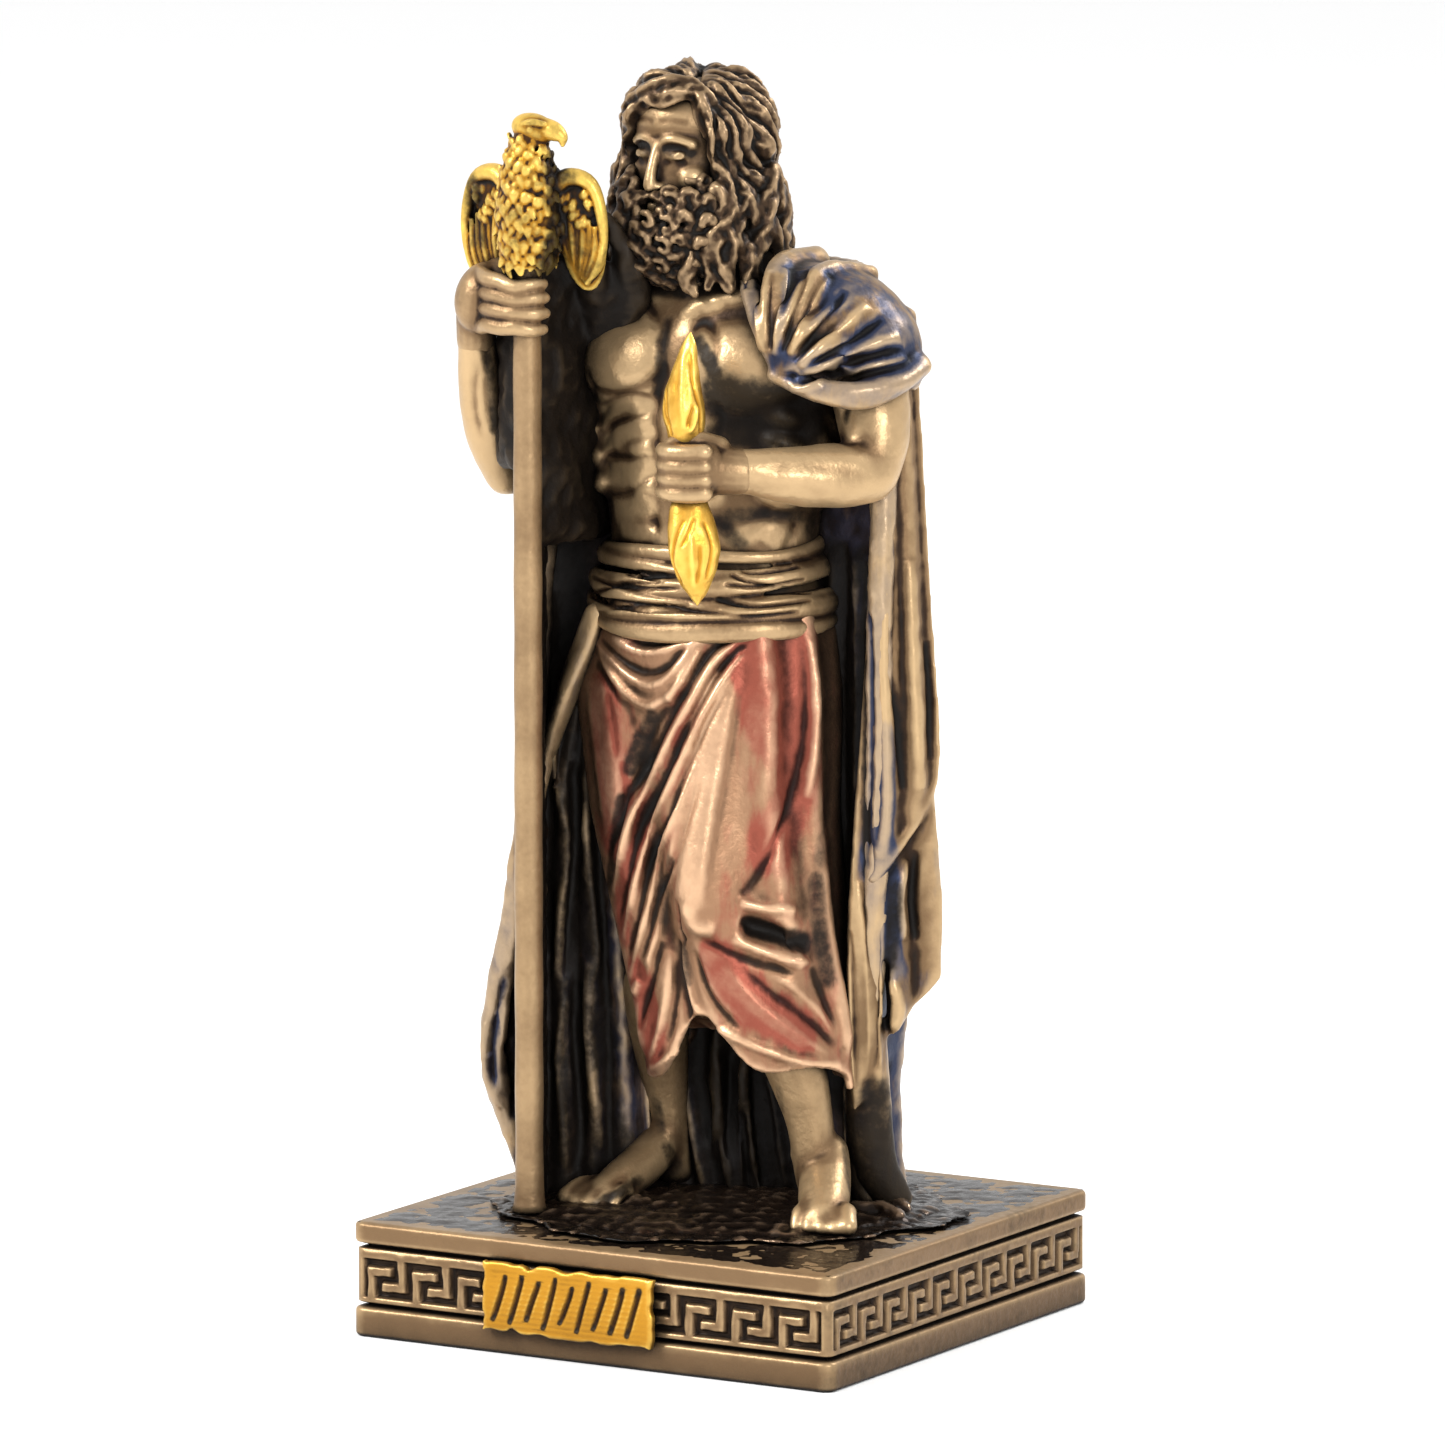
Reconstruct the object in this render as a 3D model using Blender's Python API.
"""A small cast statue of a bearded god with an eagle sceptre and a thunderbolt, on a square plinth.

The figure is one casting and the plinth another. The frame has its origin in the middle of the
plinth's underside, with +Z up and the figure facing -Y. Blender's metres are used throughout.
"""
import math

import bmesh
import bpy
import numpy as np
from mathutils import Euler, Vector

MM = 0.001

# Plinth
PLINTH_WIDTH = 38.0 * MM
PLINTH_DEPTH = 36.0 * MM
CORNER_ROUNDING = 0.9 * MM
FOOT_BAND_HEIGHT = 2.1 * MM
GROOVE_HEIGHT = 0.3 * MM
GROOVE_DEPTH = 0.9 * MM
LOWER_RAIL_HEIGHT = 0.4 * MM
KEY_FIELD_HEIGHT = 2.7 * MM
UPPER_RAIL_HEIGHT = 0.7 * MM
LIP_HEIGHT = 1.5 * MM
EDGE_EASING = 0.35 * MM
FRIEZE_INSET = 0.2 * MM
KEY_DEPTH = 0.5 * MM
KEY_PITCH = 3.55 * MM
KEY_BAR = 0.58 * MM
CORNER_POST = 0.9 * MM

# Plaque on the front of the plinth
PLAQUE_WIDTH = 13.6 * MM
PLAQUE_HEIGHT = 5.0 * MM
PLAQUE_FOOT = 1.6 * MM
PLAQUE_OFFSET = -1.2 * MM
PLAQUE_THICKNESS = 0.6 * MM
PLAQUE_GAP = 0.3 * MM
STROKE_WIDTH = 0.45 * MM
STROKE_DEPTH = 0.25 * MM
STROKE_COUNT = 7

# Figure, whose pose and carving are shares of its height
FIGURE_HEIGHT = 79.0 * MM
SHARES = 79.0
SEAT_GAP = 0.3 * MM
CLAY_GRAIN = 0.36 * MM
FIGURE_TRIANGLES = 7100

STAFF_RADIUS = 0.97 * MM
STAFF_FROM_MIDDLE = Vector((-9.15, -10.6, 0)) * MM

PLINTH_HEIGHT = (FOOT_BAND_HEIGHT + 2 * GROOVE_HEIGHT + LOWER_RAIL_HEIGHT + KEY_FIELD_HEIGHT
                 + UPPER_RAIL_HEIGHT + LIP_HEIGHT)
KEY_FIELD_FOOT = FOOT_BAND_HEIGHT + GROOVE_HEIGHT + LOWER_RAIL_HEIGHT
UNIT = FIGURE_HEIGHT / SHARES


def clear_scene():
    for thing in list(bpy.data.objects):
        bpy.data.objects.remove(thing)


def finish(name, colour, roughness, metallic):
    """A plain material in the part's own colour."""
    material = bpy.data.materials.new(name)
    material.use_nodes = True
    shader = material.node_tree.nodes["Principled BSDF"]
    shader.inputs["Base Color"].default_value = (*colour, 1)
    shader.inputs["Roughness"].default_value = roughness
    shader.inputs["Metallic"].default_value = metallic
    return material


def object_of(name, points, faces, material=None):
    mesh = bpy.data.meshes.new(name)
    mesh.from_pydata([tuple(p) for p in points], [], [tuple(f) for f in faces])
    mesh.validate()
    if material:
        mesh.materials.append(material)
    thing = bpy.data.objects.new(name, mesh)
    bpy.context.scene.collection.objects.link(thing)
    return thing


def evaluated(thing, name, material):
    """The object's mesh with its modifiers applied, as a new object. The old one is removed."""
    graph = bpy.context.evaluated_depsgraph_get()
    mesh = bpy.data.meshes.new_from_object(thing.evaluated_get(graph))
    bpy.data.objects.remove(thing)
    mesh.name = name
    mesh.materials.clear()
    mesh.materials.append(material)
    made = bpy.data.objects.new(name, mesh)
    bpy.context.scene.collection.objects.link(made)
    return made


# Clay: closed shells in figure shares, heaped up and later fused


def smooth_path(stations, steps):
    """Points on a smooth curve through the stations. Each may carry a radius as its fourth value."""
    p = np.array(stations, float)
    p = np.vstack([2 * p[0] - p[1], p, 2 * p[-1] - p[-2]])
    found = []
    for i in range(1, len(p) - 2):
        a, b, c, d = p[i - 1:i + 3]
        for t in np.linspace(0, 1, steps, endpoint=False):
            found.append(0.5 * (2 * b + (c - a) * t + (2 * a - 5 * b + 4 * c - d) * t ** 2
                                + (3 * b - a - 3 * c + d) * t ** 3))
    found.append(p[-2])
    return np.array(found)


def profile(levels, height):
    """The values of a table of levels, each a height and then values, read smoothly at one height."""
    table = np.array(levels, float)
    return np.array([np.interp(height, table[:, 0], column) for column in table[:, 1:].T])


def bump(x, width):
    """A soft ridge of height 1 at zero, that dies away over the width."""
    return np.exp(-(np.asarray(x) / width) ** 2)


class Clay:
    """Closed shells, each a stack of rings, that overlap where the cast figure is one mass."""

    def __init__(self):
        self.points = []
        self.faces = []

    def rings(self, rings):
        """One closed shell through rings of equally many points, with flat ends."""
        rings = np.asarray(rings, float)
        count, around = rings.shape[:2]
        first = len(self.points)
        self.points.extend(rings.reshape(-1, 3))
        for i in range(count - 1):
            for j in range(around):
                k = (j + 1) % around
                low, high = first + i * around, first + (i + 1) * around
                self.faces.append((low + j, low + k, high + k, high + j))
        self.faces.append(tuple(first + j for j in reversed(range(around))))
        self.faces.append(tuple(first + (count - 1) * around + j for j in range(around)))

    def ball(self, centre, radii, turn=(0, 0, 0), around=20, rows=11):
        """An ellipsoid, turned by degrees about X, Y and Z."""
        spin = np.array(Euler([math.radians(a) for a in turn]).to_matrix())
        rings = []
        for lean in np.linspace(-88, 88, rows):
            up, out = math.sin(math.radians(lean)), math.cos(math.radians(lean))
            angle = np.linspace(0, 2 * math.pi, around, endpoint=False)
            ring = np.stack([out * np.cos(angle), out * np.sin(angle), np.full(around, up)], 1)
            rings.append((ring * radii) @ spin.T + centre)
        self.rings(rings)

    def tube(self, stations, around=12, steps=4, wide=1.0, thick=1.0, lie=(0, 0, 1), ridges=0, relief=0.0):
        """A round-ended tube along a smooth curve. It is wide across and thick towards lie."""
        path = smooth_path(stations, steps)
        middle, radius = path[:, :3], path[:, 3]
        along = np.gradient(middle, axis=0)
        along /= np.linalg.norm(along, axis=1)[:, None]
        up = np.array(lie, float)
        ups = []
        for way in along:
            up = up - (up @ way) * way
            if np.linalg.norm(up) < 1e-6:
                up = np.cross(way, (1.0, 0.3, 0.2))
            up = up / np.linalg.norm(up)
            ups.append(up)
        ups = np.array(ups)
        across = np.cross(along, ups)
        angle = np.linspace(0, 2 * math.pi, around, endpoint=False)
        swell = 1 + relief * np.cos(ridges * angle)
        round_end = [(math.sin(math.radians(a)), math.cos(math.radians(a))) for a in (88, 60, 30)]
        rings = []

        def ring(i, shift, share):
            section = (across[i] * wide * (swell * np.cos(angle))[:, None]
                       + ups[i] * thick * (swell * np.sin(angle))[:, None])
            rings.append(middle[i] + along[i] * shift * min(wide, thick) * radius[i] + section * radius[i] * share)

        for back, share in round_end:
            ring(0, -back, share)
        for i in range(len(path)):
            ring(i, 0, 1)
        for ahead, share in reversed(round_end):
            ring(-1, ahead, share)
        self.rings(rings)

    def fused(self, name, grain, relax, triangles, material, place, unit):
        """All shells as one closed body: one skin over the heap, relaxed, then thinned to few triangles."""
        points = np.array(self.points)
        points[:, 2] = np.maximum(points[:, 2], 0)
        heap = object_of(name + "_heap", points * unit + np.array(place), self.faces)
        skin = heap.modifiers.new("skin", "REMESH")
        skin.mode = "VOXEL"
        skin.voxel_size = grain
        soften = heap.modifiers.new("soften", "SMOOTH")
        soften.factor = 0.5
        soften.iterations = relax
        body = evaluated(heap, name, material)
        keep_outer_skin(body.data)
        thin = body.modifiers.new("thin", "DECIMATE")
        thin.ratio = triangles / (2 * len(body.data.polygons))
        return body


def keep_outer_skin(mesh):
    """Removes every shell but the largest, such as the skin of a pocket inside the heap."""
    work = bmesh.new()
    work.from_mesh(mesh)
    work.verts.ensure_lookup_table()
    seen = set()
    groups = []
    for start in work.verts:
        if start.index in seen:
            continue
        seen.add(start.index)
        group, front = [start], [start]
        while front:
            vertex = front.pop()
            for edge in vertex.link_edges:
                other = edge.other_vert(vertex)
                if other.index not in seen:
                    seen.add(other.index)
                    group.append(other)
                    front.append(other)
        groups.append(group)
    largest = max(groups, key=len)
    for group in groups:
        if group is not largest:
            bmesh.ops.delete(work, geom=group, context="VERTS")
    work.to_mesh(mesh)
    work.free()


# The man


BODY_MIDDLE = -0.9
TORSO_LEVELS = (
    (38.0, -0.8, 0.6, 8.4, 6.0), (45.0, -0.9, 0.4, 7.6, 5.5), (50.0, -0.9, 0.4, 8.0, 5.6),
    (54.5, -0.9, 0.6, 9.1, 5.9), (59.5, -0.8, 0.9, 10.3, 6.0), (62.4, -0.9, 1.1, 8.8, 5.0),
    (64.6, -1.2, 1.0, 5.2, 4.0), (68.0, -1.7, 0.2, 3.3, 3.3), (71.0, -2.0, -0.2, 3.2, 3.2))


def torso(clay, around=32):
    angle = np.linspace(0, 2 * math.pi, around, endpoint=False)
    rings = []
    for height in np.arange(38, 71, 1.5):
        x, y, wide, deep = profile(TORSO_LEVELS, height)
        rings.append(np.stack([x + wide * np.cos(angle), y + deep * np.sin(angle),
                               np.full(around, height)], 1))
    clay.rings(rings)
    for side in (-1, 1):
        x = BODY_MIDDLE + side * 4.4
        clay.ball((x, -3.4, 58.4), (4.3, 2.9, 3.0), (-14, 0, side * 10))
        for row, wide in ((54.9, 2.1), (52.5, 2.0), (50.1, 1.9)):
            clay.ball((BODY_MIDDLE + side * 2.1, -4.6, row), (wide, 1.4, 1.2))
        clay.tube([(x - side * 3, 1.5, 65.6, 2.0), (x + side * 1.2, 1.6, 63.6, 2.2),
                   (x + side * 4.6, 1.0, 61.6, 2.5)])
    clay.ball((BODY_MIDDLE, -4.2, 46.6), (4.0, 1.6, 2.6))


def right_arm(clay):
    clay.ball((-10.2, 0.6, 60.6), (3.2, 3.4, 3.9))
    clay.tube([(-10.4, 0.8, 60.6, 2.9), (-12.1, -1.4, 56.2, 2.6), (-13.9, -4.2, 51.4, 2.0),
               (-14.1, -5.2, 50.2, 1.6)])
    clay.tube([(-14.1, -5.2, 50.5, 1.8), (-14.3, -6.6, 53.2, 2.0), (-14.3, -8.0, 56.5, 1.8),
               (-14.0, -9.3, 60.2, 1.35), (-13.4, -9.8, 62.0, 1.4)])
    clay.ball((-12.2, -10.2, 63.1), (2.0, 1.5, 2.2))
    for finger in range(4):
        z = 61.6 + 1.08 * finger
        clay.tube([(-12.8, -11.0, z, 0.66), (-11.0, -12.1, z, 0.66), (-9.2, -12.4, z, 0.64),
                   (-7.9, -11.8, z, 0.6), (-7.4, -10.6, z, 0.55)], around=8)
    clay.tube([(-12.2, -9.2, 64.2, 0.9), (-10.6, -8.8, 65.3, 0.8), (-8.8, -9.2, 65.4, 0.7)], around=8)


def left_arm(clay):
    clay.ball((8.8, 0.7, 60.6), (3.5, 3.6, 4.0))
    clay.tube([(9.4, 0.8, 60.6, 3.1), (11.2, 0.3, 57.4, 2.8), (12.3, -0.6, 54.0, 2.4),
               (12.5, -1.4, 51.9, 2.0)])
    clay.tube([(12.5, -1.6, 51.6, 2.1), (11.3, -3.6, 51.5, 2.2), (9.2, -6.2, 51.7, 2.0),
               (6.9, -8.4, 52.1, 1.6), (5.4, -9.3, 52.1, 1.6)])
    clay.ball((3.9, -9.8, 52.1), (2.1, 2.0, 2.1))
    for finger in range(4):
        z = 50.6 + 1.02 * finger
        clay.tube([(5.0, -11.3, z, 0.66), (3.4, -11.9, z, 0.66), (1.9, -11.3, z, 0.62),
                   (1.5, -10.0, z, 0.55)], around=8)


HEAD = Vector((-2.2, -0.5, 72.2))


def head(clay):
    clay.ball(HEAD, (3.7, 4.4, 5.2), (4, 0, -8))
    clay.tube([(-2.7, -4.6, 73.3, 0.5), (-2.8, -5.4, 71.9, 0.62), (-2.85, -5.7, 71.2, 0.62)], around=8)
    for side in (-1, 1):
        clay.tube([(-2.7 + side * 0.5, -4.7, 73.8, 0.5), (-2.6 + side * 2.4, -3.9, 73.8, 0.5)], around=8)
        clay.tube([(-2.8 + side * 0.4, -5.2, 70.5, 0.55), (-2.7 + side * 1.8, -4.8, 69.8, 0.55),
                   (-2.6 + side * 2.6, -4.4, 68.7, 0.35)], around=8)


def on_skull(turn, lean, out=0.0):
    """A point over the scalp. turn is degrees from the face, and lean degrees above the ears."""
    t, e = math.radians(turn - 8), math.radians(lean)
    return Vector((HEAD.x + 0.1 + (4.5 + out) * math.sin(t) * math.cos(e),
                   HEAD.y + 0.7 - (4.9 + out) * math.cos(t) * math.cos(e),
                   HEAD.z + 0.8 + (5.7 + out) * math.sin(e)))


def hair(clay, locks=7):
    """A cap of hair with waved locks that part over the forehead and fall to the shoulders."""
    clay.ball(HEAD + Vector((0.2, 1.1, 0.9)), (4.4, 4.4, 5.6))
    for side in (-1, 1):
        for n in range(locks):
            share = n / (locks - 1)
            turn = side * (62 + 108 * share)
            wave = 8 * math.sin(2.4 * n)
            root = on_skull(side * (14 + 60 * share), 70 - 4 * share, 0.0)
            brow = on_skull(turn * 0.8 + wave * side, 38, 0.35)
            ear = on_skull(turn - wave * side, 0, 0.5)
            neck = on_skull(turn + wave * side, -38, 1.2)
            tip = neck + Vector((side * (1.4 - share), 0.2 + share, -3.0 - 1.2 * share))
            clay.tube([(*root, 0.75), (*brow, 1.1), (*ear, 1.25), (*neck, 1.15), (*tip, 0.6)], around=9)


def beard(clay):
    clay.ball((-2.6, -3.6, 67.4), (2.9, 2.3, 3.0), (-18, 0, -8))
    for row, (z, reach, count) in enumerate(((69.2, 0.0, 6), (67.3, 0.3, 6), (65.8, 0.4, 4))):
        for n in range(count):
            turn = (n + 0.5 * (row % 2)) / (count - 1) * 2 - 1
            if abs(turn) > 1:
                continue
            x = -2.6 + 3.5 * turn * (1 - 0.16 * row)
            y = -5.1 + 2.4 * turn * turn - reach
            clay.tube([(x, y + 0.5, z + 0.9, 0.7), (x + 0.4, y - 0.3, z - 0.4, 0.85),
                       (x - 0.3, y - 0.1, z - 1.8, 0.5)], around=8)


# The clothes


def wrap(clay, levels, sag, tilt=0.0, around=36):
    """One turn of cloth round the waist, a ring that sags at the front by so much."""
    angle = np.linspace(0, 2 * math.pi, around, endpoint=False)
    height, x, y, wide, deep, thick = levels
    section = np.linspace(0, 2 * math.pi, 8, endpoint=False)
    first = len(clay.points)
    for a in angle:
        z = height - sag * bump(a + math.pi / 2 if a < math.pi / 2 else a - 1.5 * math.pi, 0.9) + tilt * math.cos(a)
        for s in section:
            out = thick * math.cos(s) * 0.8
            clay.points.append(np.array((x + (wide + out) * math.cos(a), y + (deep + out) * math.sin(a),
                                         z + thick * math.sin(s))))
    for i in range(around):
        for j in range(8):
            a, b = first + i * 8 + j, first + i * 8 + (j + 1) % 8
            c, d = first + ((i + 1) % around) * 8 + (j + 1) % 8, first + ((i + 1) % around) * 8 + j
            clay.faces.append((a, d, c, b))


def sash(clay):
    wrap(clay, (44.6, -0.9, 0.3, 7.7, 5.7, 0.9), 0.2, 0.2)
    wrap(clay, (43.2, -0.9, 0.2, 8.0, 6.0, 0.85), 0.5, 0.3)
    wrap(clay, (42.0, -0.9, 0.2, 8.3, 6.3, 0.95), 1.0, 0.2)


SKIRT_LEVELS = (
    (8.0, 3.3, -1.4, 7.9, 5.2), (14.0, 2.6, -1.4, 7.6, 5.6), (20.0, 1.6, -1.4, 7.4, 6.0),
    (28.0, 0.3, -1.0, 8.0, 6.6), (36.0, -0.6, -0.3, 8.7, 6.9), (43.0, -0.9, 0.2, 8.2, 6.2))
SKIRT_TOP = 43.0
# Each fold is a ridge across the cloth: its strength, its width in degrees, then where it runs, as
# degrees round from the right-hand side and a height in shares
SKIRT_FOLDS = (
    (1.1, 6, (288, 41), (264, 33), (243, 24), (232, 13)),
    (0.8, 5, (270, 40), (250, 33), (234, 24), (224, 15)),
    (-0.7, 5, (278, 40), (257, 32), (238, 23), (228, 14)),
    (0.7, 8, (318, 41), (322, 30), (326, 18)),
    (0.8, 9, (345, 41), (350, 28), (356, 13)),
    (0.7, 6, (296, 20), (318, 19.0), (345, 20)),
    (-0.9, 9, (306, 17.6), (326, 17.0), (345, 18)),
    (0.7, 9, (215, 40), (212, 25), (222, 12)),
    (0.7, 12, (20, 40), (24, 12)), (0.7, 12, (60, 40), (55, 12)), (0.7, 12, (95, 40), (98, 12)),
    (0.7, 12, (135, 40), (130, 12)), (0.7, 12, (172, 40), (176, 12)))


def hem_height(angle):
    """The height of the skirt's hem: low at both sides and lifted over the left shin."""
    turn = np.degrees(angle) % 360
    return 9.0 + 5.6 * bump((turn - 268), 26) + 2.2 * bump(turn - 330, 30)


def fold_relief(folds, angle, height):
    """How far the ridges lift the cloth at each angle and height. Both are arrays of one shape."""
    turn = np.degrees(angle) % 360
    lift = np.zeros_like(turn)
    for strength, width, *line in folds:
        line = np.array(sorted(line, key=lambda stop: stop[1]), float)
        if len(line) == 3 and line[1, 1] - line[0, 1] < 1e-6:
            line[1, 1] += 1e-3
        middle = np.interp(height, line[:, 1], line[:, 0])
        inside = bump(np.clip(line[0, 1] - height, 0, None), 1.5) * bump(np.clip(height - line[-1, 1], 0, None), 1.5)
        away = (turn - middle + 180) % 360 - 180
        lift += strength * bump(away, width) * inside
    return lift


def skirt(clay, around=72, rows=26):
    angle = np.linspace(0, 2 * math.pi, around, endpoint=False)
    rings = []
    hem = hem_height(angle)
    for share in np.linspace(0, 1, rows):
        height = SKIRT_TOP + (hem - SKIRT_TOP) * share
        table = np.array([profile(SKIRT_LEVELS, h) for h in height])
        lift = fold_relief(SKIRT_FOLDS, angle, height)
        knee = 1.2 * bump(np.degrees(angle) - 283, 26) * bump(height - 23, 7)
        shin = 1.0 * bump(np.degrees(angle) - 300, 24) * bump(height - 12, 7)
        x = table[:, 0] + (table[:, 2] + lift) * np.cos(angle)
        y = table[:, 1] + (table[:, 3] + lift + knee + shin) * np.sin(angle)
        rings.append(np.stack([x, y, height], 1))
    last = rings[-1]
    middle = last.mean(0)
    inner = middle + (last - middle) * 0.82
    inner[:, 2] = last[:, 2] + 1.2
    rings.append(inner)
    clay.rings([r[::-1] for r in rings])


def legs(clay):
    clay.tube([(4.2, -1.2, 38, 4.6), (3.9, -3.8, 30, 4.0), (3.7, -4.9, 23.4, 3.2), (5.6, -3.6, 15, 2.6),
               (8.2, -2.2, 7.4, 1.7), (8.6, -1.8, 3.2, 1.65), (8.5, -1.2, 1.4, 1.6)], around=16)
    clay.tube([(-4.6, -1.0, 38, 4.6), (-4.9, -2.6, 28, 3.8), (-4.8, -2.4, 20, 3.0), (-4.6, -0.8, 12, 2.3),
               (-4.6, 0.2, 6.2, 1.5), (-4.5, 0.4, 3.2, 1.5), (-4.5, 1.0, 1.4, 1.5)], around=16)


def foot(clay, heel, toes, girth):
    """A bare foot from its heel to its toes, with five toes side by side."""
    heel, toes = Vector(heel), Vector(toes)
    along = toes - heel
    across = Vector((-along.y, along.x, 0)).normalized()
    clay.tube([(*heel, girth), (*(heel + along * 0.3 + Vector((0, 0, 0.9))), girth * 1.05),
               (*(heel + along * 0.62 + Vector((0, 0, 0.3))), girth * 0.95),
               (*(heel + along * 0.84), girth * 0.75)], wide=1.12, thick=0.86)
    for n in range(5):
        step = n - 2
        base = heel + along * 0.76 + across * step * 0.8
        tip = heel + along * (1.0 - 0.035 * (n if along.x > 0 else 4 - n)) + across * step * 0.86
        tip.z = 0.55
        clay.tube([(*base, 0.62), (*tip, 0.62)], around=8)


def feet(clay):
    foot(clay, (8.3, 0.2, 1.3), (12.0, -7.0, 0.8), 1.7)
    foot(clay, (-4.4, 2.2, 1.3), (-6.3, -7.6, 0.8), 1.6)


# The cloak's outline by height: the left edge's x and y, the right edge's x and y, how far the back
# stands behind the edges, and how far the front is hollowed
CLOAK_LEVELS = (
    (0.0, -13.5, -3.6, 10.6, 2.0, 10.6, 2.6), (3.0, -14.0, -4.4, 10.3, 1.2, 11.4, 3.0),
    (8.4, -16.0, -4.9, 10.4, 0.8, 11.8, 3.4), (14.0, -15.6, -4.9, 11.4, 0.4, 11.6, 3.4),
    (20.0, -14.4, -4.6, 12.0, 0.0, 11.2, 3.4), (30.0, -13.1, -4.4, 12.6, -0.4, 10.8, 3.4),
    (42.0, -12.7, -4.2, 12.8, -0.6, 10.4, 3.6), (52.0, -12.4, -2.4, 12.8, 0.0, 9.0, 3.2),
    (60.0, -12.6, 0.8, 12.6, 0.8, 6.2, 1.6), (64.4, -10.2, 2.0, 9.4, 1.8, 3.6, 0.8))
CLOAK_BACK_FOLDS = (
    (1.0, 7, (20, 0), (30, 26), (42, 60)), (1.2, 8, (44, 0), (48, 22), (52, 58)),
    (1.0, 7, (68, 0), (66, 24), (62, 60)), (1.3, 8, (90, 0), (84, 26), (72, 60)),
    (1.0, 7, (112, 0), (104, 30), (86, 58)), (1.2, 8, (134, 0), (128, 30), (104, 58)),
    (1.0, 7, (156, 0), (152, 30), (126, 56)), (-0.9, 6, (57, 2), (57, 40)), (-0.9, 6, (100, 2), (96, 40)),
    (-0.9, 6, (123, 2), (118, 42)), (-0.9, 6, (78, 2), (75, 40)))
CLOAK_FRONT_FOLDS = (
    (0.8, 5, (196, 0), (198, 36)), (0.9, 5, (208, 0), (210, 30)), (0.8, 5, (221, 0), (222, 30)),
    (0.9, 5, (256, 0), (256, 16)), (0.9, 5, (268, 0), (267, 16)), (0.8, 5, (281, 0), (280, 16)),
    (0.8, 6, (330, 0), (330, 44)), (0.8, 5, (343, 4), (345, 48)))


def cloak(clay, around=96):
    """The cloak behind the body: a crescent at each height, its edges drawn forward at both sides."""
    angle = np.linspace(0, 2 * math.pi, around, endpoint=False)
    rings = []
    for height in np.arange(0, 64.6, 1.6):
        left_x, left_y, right_x, right_y, back, hollow = profile(CLOAK_LEVELS, height)
        x = (left_x + right_x) / 2 + (right_x - left_x) / 2 * np.cos(angle)
        edge = left_y + (right_y - left_y) * (x - left_x) / (right_x - left_x)
        level = np.full(around, height)
        lift = fold_relief(CLOAK_BACK_FOLDS, angle, level) * (1.15 - height / 110)
        wall = fold_relief(CLOAK_FRONT_FOLDS, angle, level)
        behind = np.sin(angle) > 0
        depth = np.where(behind, (back + lift) * np.abs(np.sin(angle)) ** 0.8,
                         hollow * np.abs(np.sin(angle)) ** 0.6 - wall)
        rings.append(np.stack([x + np.where(behind, lift, 0) * np.cos(angle), edge + depth, level], 1))
    clay.rings(rings)
    left_edge = [(level[1] + 0.4, level[2] + 0.2, level[0], 0.95) for level in CLOAK_LEVELS[:-2]]
    right_edge = [(level[3] - 0.2, level[4] + 0.2, level[0], 0.9) for level in CLOAK_LEVELS[:-2]]
    clay.tube(left_edge, steps=3)
    clay.tube(right_edge, steps=3)


def cloak_falls(clay):
    """The layered falls that hang from the left shoulder behind the elbow, each with a slanting hem."""
    outward = (1, 0.25, 0)
    clay.tube([(12.6, 2.6, 60, 1.5), (13.4, 2.8, 50, 1.9), (13.7, 3.0, 40, 2.4), (13.8, 3.2, 33, 2.9),
               (13.6, 3.2, 28.6, 2.2)], wide=1.45, thick=0.42, lie=outward, around=16)
    clay.tube([(12.9, -0.2, 52, 0.8), (13.0, -0.3, 42, 0.95), (13.0, -0.3, 32, 1.0), (12.5, -0.3, 25, 0.7)],
              around=10)
    clay.tube([(14.2, 2.8, 52, 0.8), (14.5, 3.2, 42, 1.0), (14.6, 3.6, 32, 1.1), (14.0, 3.6, 28.4, 0.7)],
              around=10)
    clay.tube([(12.4, 3.6, 34, 1.6), (13.0, 4.2, 26, 2.2), (13.4, 4.6, 20.6, 2.0), (12.6, 4.4, 16.6, 1.0)],
              wide=1.3, thick=0.5, lie=outward, around=14)
    clay.tube([(11.2, -0.6, 28, 1.0), (11.2, -0.7, 20, 1.25), (10.9, -0.6, 13, 1.2), (10.2, -0.2, 7.6, 0.8)],
              around=10)


def cloak_on_shoulder(clay):
    """The cloak's end, drawn over the left shoulder to a point on the breast in fanned folds."""
    clay.ball((8.6, 0.4, 61.2), (5.4, 4.6, 3.9), (0, 16, 0))
    point = (7.4, -5.5, 58.6)
    for over, out, strength in (((2.9, -1.4, 64.6), (2.4, 3.2, 65.2), 0.75), ((5.6, -1.6, 65.2), (5.6, 3.4, 65.4), 1.0),
                                ((8.6, -1.6, 64.8), (9.4, 3.4, 64.2), 1.05), ((11.2, -1.6, 62.9), (12.6, 3.0, 61.6), 1.0),
                                ((12.6, -1.8, 60.6), (14.4, 1.8, 58.8), 0.9), ((12.2, -2.4, 58.9), (14.6, 0.6, 57.6), 0.75)):
        halfway = (Vector(point) + Vector(over)) / 2 + Vector((0.3, -1.4, 0.5))
        clay.tube([(*point, 0.55), (*halfway, strength * 0.95), (*over, strength), (*out, strength)], around=9)


# What he holds


def staff(clay):
    x, y = STAFF_FROM_MIDDLE.x / UNIT, STAFF_FROM_MIDDLE.y / UNIT
    radius = STAFF_RADIUS / UNIT
    clay.tube([(x, y, 0.8, radius), (x, y, 30, radius), (x, y, 66, radius)], around=16, steps=2)
    corners = ((-0.4, 0.2), (0.5, 0.6), (-2.4, 6.4), (-3.8, 5.8))
    clay.rings([[(x + cx, y + cy, z) for cx, cy in corners] for z in (0.4, 20, 40, 61)])


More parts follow.
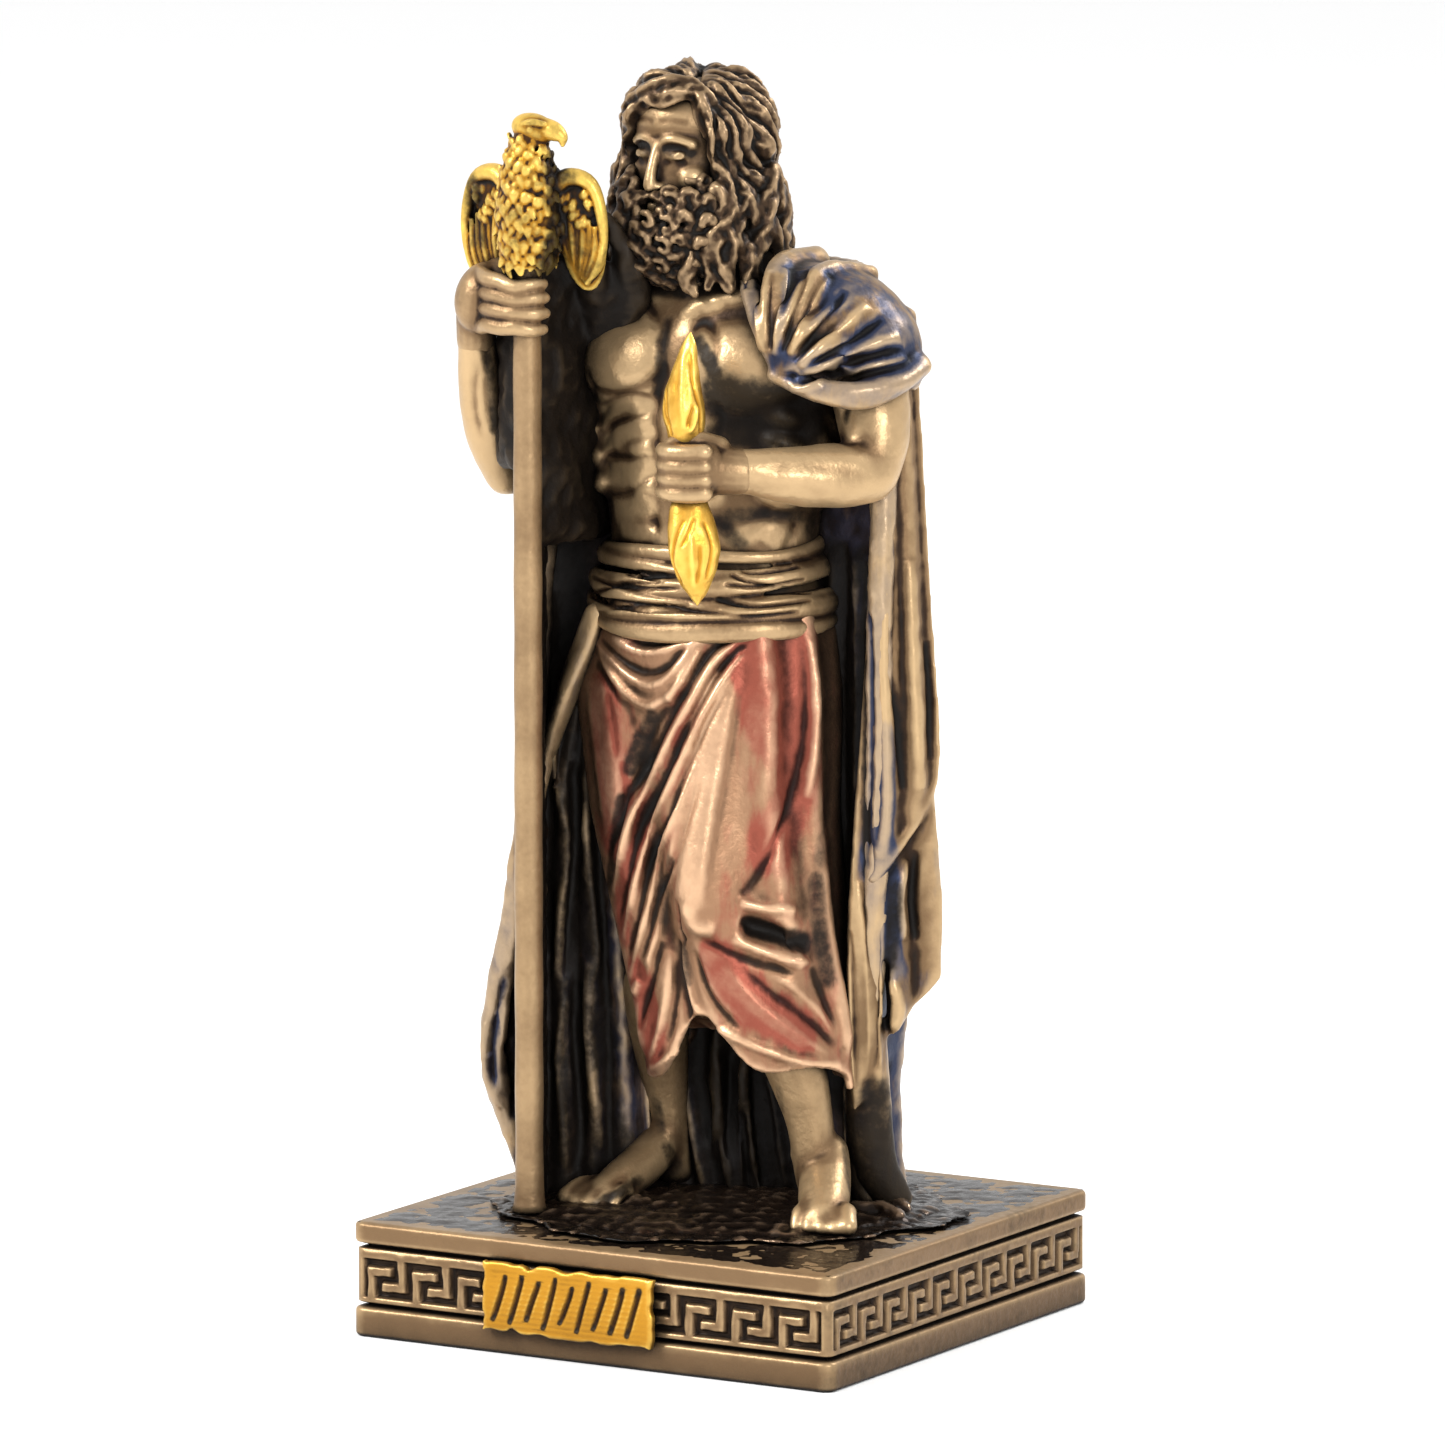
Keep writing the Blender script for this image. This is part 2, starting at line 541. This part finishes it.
def eagle(clay):
    x, y = STAFF_FROM_MIDDLE.x / UNIT, STAFF_FROM_MIDDLE.y / UNIT
    clay.ball((x + 0.1, y - 0.2, 69.0), (2.15, 2.0, 3.9), (-6, 0, 0))
    clay.tube([(x + 0.1, y - 0.2, 71.2, 1.75), (x + 0.3, y - 0.2, 73.4, 1.25), (x + 0.7, y - 0.2, 75.0, 1.1)])
    clay.tube([(x + 0.9, y - 0.2, 75.3, 0.95), (x + 2.2, y - 0.3, 75.4, 0.55), (x + 3.0, y - 0.3, 74.7, 0.22)],
              around=8)
    for side in (-1, 1):
        clay.ball((x + 0.2 + side * 4.1, y + 1.2, 68.0), (2.1, 0.9, 4.3), (0, side * -8, side * 20))
        clay.tube([(x + side * 1.2, y + 0.6, 70.6, 1.0), (x + side * 2.8, y + 0.9, 71.4, 0.95),
                   (x + side * 4.6, y + 1.4, 70.4, 0.95)], around=8)


def thunderbolt(clay):
    clay.tube([(3.3, -10.2, 52.4, 0.7), (3.2, -10.4, 54.6, 1.35), (3.2, -10.5, 56.4, 1.6), (3.3, -10.4, 58.6, 1.15),
               (3.4, -10.2, 60.2, 0.6), (3.4, -10.1, 61.3, 0.15)], around=6)
    clay.tube([(3.4, -10.2, 51.0, 0.7), (3.7, -10.4, 49.0, 1.2), (3.9, -10.5, 46.8, 1.75), (4.0, -10.5, 45.0, 1.3),
               (4.2, -10.5, 43.3, 0.15)], around=6)


def ground(clay, around=28):
    """The soil that the feet, the staff and the cloak stand in."""
    angle = np.linspace(0, 2 * math.pi, around, endpoint=False)
    ripple = 1 + 0.06 * np.sin(3 * angle + 1) + 0.05 * np.sin(7 * angle)
    rings = [np.stack([0.2 + wide * ripple * np.cos(angle), -0.4 + deep * ripple * np.sin(angle),
                       np.full(around, z)], 1) for wide, deep, z in ((15.4, 13.6, 0), (15.0, 13.2, 0.5), (12.5, 11, 0.8))]
    clay.rings(rings)


def figure():
    clay = Clay()
    for part in (torso, right_arm, left_arm, head, hair, beard, sash, skirt, legs, feet, cloak, cloak_falls,
                 cloak_on_shoulder, staff, eagle, thunderbolt, ground):
        part(clay)
    bronze = finish("cast_bronze", (0.34, 0.25, 0.17), 0.4, 0.9)
    place = (0, 0, PLINTH_HEIGHT + SEAT_GAP)
    return clay.fused("figure", CLAY_GRAIN, 2, FIGURE_TRIANGLES, bronze, place, UNIT)


def rounded_rectangle(width, depth, rounding, z, steps=2):
    ring = []
    for quarter, (sx, sy) in enumerate(((1, -1), (1, 1), (-1, 1), (-1, -1))):
        for step in range(steps + 1):
            a = math.radians(-90 + 90 * quarter + 90 * step / steps)
            ring.append((sx * (width / 2 - rounding) + rounding * math.cos(a),
                         sy * (depth / 2 - rounding) + rounding * math.sin(a), z))
    return ring


def plinth_profile():
    """The plinth's section from its underside up: how far in from the full size, and the height."""
    z = FOOT_BAND_HEIGHT
    stops = [(EDGE_EASING, 0), (0, EDGE_EASING), (0, z - EDGE_EASING / 2), (EDGE_EASING / 2, z)]
    stops += [(GROOVE_DEPTH, z + 0.01 * MM), (GROOVE_DEPTH, z + GROOVE_HEIGHT)]
    z += GROOVE_HEIGHT
    stops += [(FRIEZE_INSET, z + 0.01 * MM), (FRIEZE_INSET, z + LOWER_RAIL_HEIGHT)]
    z += LOWER_RAIL_HEIGHT
    stops += [(FRIEZE_INSET + KEY_DEPTH, z + 0.01 * MM), (FRIEZE_INSET + KEY_DEPTH, z + KEY_FIELD_HEIGHT)]
    z += KEY_FIELD_HEIGHT
    stops += [(FRIEZE_INSET, z + 0.01 * MM), (FRIEZE_INSET, z + UPPER_RAIL_HEIGHT)]
    z += UPPER_RAIL_HEIGHT
    stops += [(GROOVE_DEPTH, z + 0.01 * MM), (GROOVE_DEPTH, z + GROOVE_HEIGHT)]
    z += GROOVE_HEIGHT
    stops += [(EDGE_EASING / 2, z + 0.01 * MM), (0, z + EDGE_EASING / 2), (0, z + LIP_HEIGHT - EDGE_EASING)]
    stops += [(EDGE_EASING, z + LIP_HEIGHT)]
    return stops


def key_outlines(pitch):
    """A Greek key's two hooks in one repeat: one stands on the lower rail, one hangs from the upper."""
    t, field, sink = KEY_BAR, KEY_FIELD_HEIGHT, LOWER_RAIL_HEIGHT / 2
    arm = field * 0.79
    rising = [(0, -sink), (t, -sink), (t, arm - t), (pitch * 0.52, arm - t), (pitch * 0.52, arm), (0, arm)]
    foot, left, right = field * 0.19, pitch * 0.33, pitch * 0.83
    hanging = [(left, foot), (right, foot), (right, field + sink), (right - t, field + sink),
               (right - t, foot + t), (left, foot + t)]
    return rising, hanging


def key_hooks(length, skip_from=1.0, skip_to=-1.0):
    """The outlines of one face's Greek key, along the face from its left, without those a plaque covers."""
    run = length - 2 * CORNER_POST
    count = round(run / KEY_PITCH)
    pitch = run / count
    shapes = []
    for n in range(count):
        start = -run / 2 + n * pitch
        for outline in key_outlines(pitch):
            shape = [(start + u + 0.08 * pitch, v) for u, v in outline]
            if min(u for u, v in shape) < skip_to and max(u for u, v in shape) > skip_from:
                continue
            shapes.append(shape)
    return shapes


def plinth():
    bronze = finish("plinth_bronze", (0.34, 0.25, 0.17), 0.42, 0.9)
    clay = Clay()
    clay.rings([rounded_rectangle(PLINTH_WIDTH - 2 * inset, PLINTH_DEPTH - 2 * inset, CORNER_ROUNDING, z)
                for inset, z in plinth_profile()])
    body = object_of("plinth", clay.points, clay.faces, bronze)
    hooks = Clay()
    left = PLAQUE_OFFSET - PLAQUE_WIDTH / 2
    right = PLAQUE_OFFSET + PLAQUE_WIDTH / 2
    faces = ((0, PLINTH_WIDTH, PLINTH_DEPTH, left, right), (90, PLINTH_DEPTH, PLINTH_WIDTH, 1, -1),
             (180, PLINTH_WIDTH, PLINTH_DEPTH, 1, -1), (270, PLINTH_DEPTH, PLINTH_WIDTH, 1, -1))
    for turn, length, across, skip_from, skip_to in faces:
        c, s = math.cos(math.radians(turn)), math.sin(math.radians(turn))
        face = -(across / 2 - FRIEZE_INSET)
        for shape in key_hooks(length, skip_from, skip_to):
            hooks.rings([[(u * c - y * s, u * s + y * c, KEY_FIELD_FOOT + v) for u, v in shape]
                         for y in (face + 2 * KEY_DEPTH, face)])
    add(body, object_of("hooks", hooks.points, hooks.faces), "UNION")
    return evaluated(body, "plinth", bronze)


def add(body, tool, operation):
    tool.hide_render = True
    tool.display_type = "WIRE"
    step = body.modifiers.new(tool.name, "BOOLEAN")
    step.operation = operation
    step.object = tool
    step.solver = "EXACT"


def plaque_slab(corners=9):
    """The plaque with its worn, nicked outline."""
    ring = []
    back = -PLINTH_DEPTH / 2 - PLAQUE_GAP
    wide, high = PLAQUE_WIDTH / 2, PLAQUE_HEIGHT / 2
    sides = (((-wide, -high), (wide, -high)), ((wide, -high), (wide, high)),
             ((wide, high), (-wide, high)), ((-wide, high), (-wide, -high)))
    for n, (start, end) in enumerate(sides):
        steps = corners if n % 2 == 0 else 4
        for i in range(steps):
            t = i / steps
            nick = 1 - 0.045 * (1 + math.sin(5.1 * i + 2 * n)) / 2
            ring.append(((start[0] + (end[0] - start[0]) * t) * (nick if n % 2 else 1),
                         (start[1] + (end[1] - start[1]) * t) * (1 if n % 2 else nick)))
    middle = PLAQUE_FOOT + high
    clay = Clay()
    clay.rings([[(PLAQUE_OFFSET + u * ease, y, middle + v * ease) for u, v in ring]
                for y, ease in ((back, 1), (back - 0.8 * PLAQUE_THICKNESS, 1), (back - PLAQUE_THICKNESS, 0.97))])
    return object_of("nameplate", clay.points, clay.faces)


def plaque_strokes():
    """A row of slanting cuts in the place of the inscription."""
    front = -PLINTH_DEPTH / 2 - PLAQUE_GAP - PLAQUE_THICKNESS
    clay = Clay()
    for n in range(STROKE_COUNT):
        u = PLAQUE_OFFSET + PLAQUE_WIDTH * 0.78 * (n / (STROKE_COUNT - 1) - 0.5)
        tall = PLAQUE_HEIGHT * (0.26 if n % 2 else 0.32)
        lean = PLAQUE_HEIGHT * 0.12
        z = PLAQUE_FOOT + PLAQUE_HEIGHT / 2
        half = STROKE_WIDTH / 2
        outline = ((u - lean - half, z - tall), (u - lean + half, z - tall), (u + lean + half, z + tall),
                   (u + lean - half, z + tall))
        clay.rings([[(x, y, zz) for x, zz in outline] for y in (front + STROKE_DEPTH, front - STROKE_DEPTH)])
    return object_of("strokes", clay.points, clay.faces)


def nameplate():
    """The plaque, cemented to the plinth's front, with a hair's gap behind it."""
    gold = finish("nameplate_gold", (0.83, 0.57, 0.14), 0.35, 1.0)
    slab = plaque_slab()
    add(slab, plaque_strokes(), "DIFFERENCE")
    return evaluated(slab, "nameplate", gold)


def main():
    clear_scene()
    plinth()
    nameplate()
    figure()
    for tool in [o for o in bpy.data.objects if o.hide_render]:
        bpy.data.objects.remove(tool)


main()
